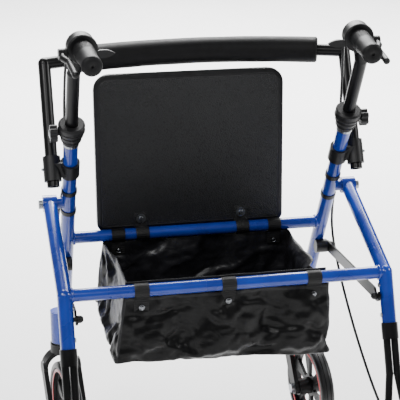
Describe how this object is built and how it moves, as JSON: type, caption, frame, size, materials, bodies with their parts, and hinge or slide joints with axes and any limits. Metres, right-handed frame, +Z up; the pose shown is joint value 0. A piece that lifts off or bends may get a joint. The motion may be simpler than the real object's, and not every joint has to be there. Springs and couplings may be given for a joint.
{
  "type": "rollator walker",
  "caption": "Four-wheeled walking frame with flip-up padded seat, tote bag under it, padded back bar, height-adjustable brake handles, swivel front wheels and a front-to-back fold.",
  "frame": {"origin": "on the floor, under the middle of the walker's box", "axes": "+Z up, +Y the walking direction, +X the user's right"},
  "size_m": [0.639, 0.7181, 0.9205],
  "materials": {
    "blue_paint": "gloss powder coat",
    "black_paint": "gloss powder coat",
    "black_plastic": "fine moulded grain",
    "soft_grip": "soft matte",
    "cable_sheath": "smooth",
    "vinyl": "grained vinyl",
    "nylon": "coated nylon with a sheen",
    "steel": "zinc plated",
    "tyre": "ribbed tread"
  },
  "bodies": {
    "front_frame": {"frame_tube_left": "blue_paint", "frame_tube_right": "blue_paint", "front_crossbar": "blue_paint", "tube_end_rings": "steel", "height_clamps": "black_plastic", "fold_pivot_bolts": "steel", "strut_brackets": "black_plastic", "backrest_sockets": "black_plastic", "cable_clips": "black_plastic", "brake_cable_upper_left": "cable_sheath", "brake_cable_upper_right": "cable_sheath", "brake_cables_lower": "cable_sheath", "bag": "nylon", "bag_front_straps": "nylon", "bag_front_snaps": "steel"},
    "rear_frame": {"rear_leg_left": "blue_paint", "rear_leg_right": "blue_paint", "rear_crossbar": "blue_paint", "rear_fork_left": "black_paint", "rear_fork_right": "black_paint", "catch_pins": "black_plastic", "leg_bolts": "steel", "bag_rear_straps": "nylon", "bag_rear_snaps": "steel", "rear_axles": "steel"},
    "lock_struts": {"lock_struts": "black_paint"},
    "seat": {"seat_board": "black_plastic", "seat_pad": "vinyl", "seat_hinge_tabs": "vinyl", "seat_screws": "steel"},
    "backrest": {"backrest_tube": "black_paint", "backrest_foam": "soft_grip"},
    "handle_left": {"handle_post_left": "black_paint", "hand_grip_left": "soft_grip", "brake_housing_left": "black_plastic"},
    "brake_lever_left": {"brake_lever_left": "black_plastic"},
    "clamp_knob_left": {"clamp_knob_left": "black_plastic"},
    "snap_button_left": {"snap_button_left": "steel"},
    "brake_arm_left": {"brake_arm_left": "black_plastic"},
    "caster_left": {"caster_fork_left": "black_plastic", "caster_stem_left": "steel", "front_axle_left": "steel"},
    "front_wheel_left": {"front_wheel_left": "black_plastic", "front_tyre_left": "tyre"},
    "rear_wheel_left": {"rear_wheel_left": "black_plastic", "rear_tyre_left": "tyre"},
    "handle_right": {"handle_post_right": "black_paint", "hand_grip_right": "soft_grip", "brake_housing_right": "black_plastic"},
    "brake_lever_right": {"brake_lever_right": "black_plastic"},
    "clamp_knob_right": {"clamp_knob_right": "black_plastic"},
    "snap_button_right": {"snap_button_right": "steel"},
    "brake_arm_right": {"brake_arm_right": "black_plastic"},
    "caster_right": {"caster_fork_right": "black_plastic", "caster_stem_right": "steel", "front_axle_right": "steel"},
    "front_wheel_right": {"front_wheel_right": "black_plastic", "front_tyre_right": "tyre"},
    "rear_wheel_right": {"rear_wheel_right": "black_plastic", "rear_tyre_right": "tyre"}
  },
  "joints": [
    {"name": "fold", "type": "hinge", "parent": "front_frame", "child": "rear_frame", "pos_m": [0, 0.12494, 0.577], "axis": [1, 0, 0], "range_deg": [0, 32], "deforming": ["bag", "brake_cables_lower"]},
    {"name": "strut_swing", "type": "hinge", "parent": "front_frame", "child": "lock_struts", "pos_m": [0, 0.18216, 0.436], "axis": [1, 0, 0], "range_deg": [0, 48.5]},
    {"name": "seat_flip", "type": "hinge", "parent": "front_frame", "child": "seat", "pos_m": [0, 0.17416, 0.49], "axis": [1, 0, 0], "range_deg": [0, 92.4]},
    {"name": "handle_height_left", "type": "slide", "parent": "front_frame", "child": "handle_left", "axis": [0, -0.4924, 0.8704], "range_m": [-0.025, 0.1], "deforming": ["brake_cable_upper_left"]},
    {"name": "clamp_knob_turn_left", "type": "hinge", "parent": "front_frame", "child": "clamp_knob_left", "pos_m": [-0.265, 0.03773, 0.73115], "axis": [-1, 0, 0], "range_deg": [0, 180]},
    {"name": "handle_height_right", "type": "slide", "parent": "front_frame", "child": "handle_right", "axis": [0, -0.4924, 0.8704], "range_m": [-0.025, 0.1], "deforming": ["brake_cable_upper_right"]},
    {"name": "clamp_knob_turn_right", "type": "hinge", "parent": "front_frame", "child": "clamp_knob_right", "pos_m": [0.265, 0.03773, 0.73115], "axis": [1, 0, 0], "range_deg": [0, 180]},
    {"name": "backrest_lift", "type": "slide", "parent": "front_frame", "child": "backrest", "axis": [0, 0.4504, 0.8928], "range_m": [0, 0.06]},
    {"name": "snap_button_press_left", "type": "slide", "parent": "backrest", "child": "snap_button_left", "axis": [1, 0, 0], "range_m": [0, 0.0035], "stiffness_N_per_m": 400},
    {"name": "snap_button_press_right", "type": "slide", "parent": "backrest", "child": "snap_button_right", "axis": [-1, 0, 0], "range_m": [0, 0.0035], "stiffness_N_per_m": 400},
    {"name": "brake_squeeze_left", "type": "hinge", "parent": "handle_left", "child": "brake_lever_left", "pos_m": [-0.23248, -0.04393, 0.88625], "axis": [-0.9985, -0.0541, 0], "range_deg": [0, 14], "stiffness_Nm_per_rad": 0.6},
    {"name": "brake_arm_swing_left", "type": "hinge", "parent": "rear_frame", "child": "brake_arm_left", "pos_m": [-0.279, -0.21548, 0.21368], "axis": [-1, 0, 0], "range_deg": [0, 5.2]},
    {"name": "brake_squeeze_right", "type": "hinge", "parent": "handle_right", "child": "brake_lever_right", "pos_m": [0.23248, -0.04393, 0.88625], "axis": [-0.9985, 0.0541, 0], "range_deg": [0, 14], "stiffness_Nm_per_rad": 0.6},
    {"name": "brake_arm_swing_right", "type": "hinge", "parent": "rear_frame", "child": "brake_arm_right", "pos_m": [0.279, -0.21548, 0.21368], "axis": [-1, 0, 0], "range_deg": [0, 5.2]},
    {"name": "caster_swivel_left", "type": "hinge", "parent": "front_frame", "child": "caster_left", "pos_m": [-0.254, 0.30594, 0.25709], "axis": [0, 0, 1], "continuous": true},
    {"name": "front_wheel_spin_left", "type": "hinge", "parent": "caster_left", "child": "front_wheel_left", "pos_m": [-0.24815, 0.26435, 0.095], "axis": [0.9903, 0.1392, 0], "continuous": true},
    {"name": "rear_wheel_spin_left", "type": "hinge", "parent": "rear_frame", "child": "rear_wheel_left", "pos_m": [-0.279, -0.26343, 0.095], "axis": [1, 0, 0], "continuous": true},
    {"name": "caster_swivel_right", "type": "hinge", "parent": "front_frame", "child": "caster_right", "pos_m": [0.254, 0.30594, 0.25709], "axis": [0, 0, 1], "continuous": true},
    {"name": "front_wheel_spin_right", "type": "hinge", "parent": "caster_right", "child": "front_wheel_right", "pos_m": [0.25984, 0.26435, 0.095], "axis": [0.9903, 0.1392, 0], "continuous": true},
    {"name": "rear_wheel_spin_right", "type": "hinge", "parent": "rear_frame", "child": "rear_wheel_right", "pos_m": [0.279, -0.26343, 0.095], "axis": [1, 0, 0], "continuous": true}
  ],
  "couplings": [
    {"joint": "strut_swing", "follows": "fold", "ratio": 1.5},
    {"joint": "brake_arm_swing_left", "follows": "brake_squeeze_left", "ratio": 0.357},
    {"joint": "brake_arm_swing_right", "follows": "brake_squeeze_right", "ratio": 0.357}
  ]
}
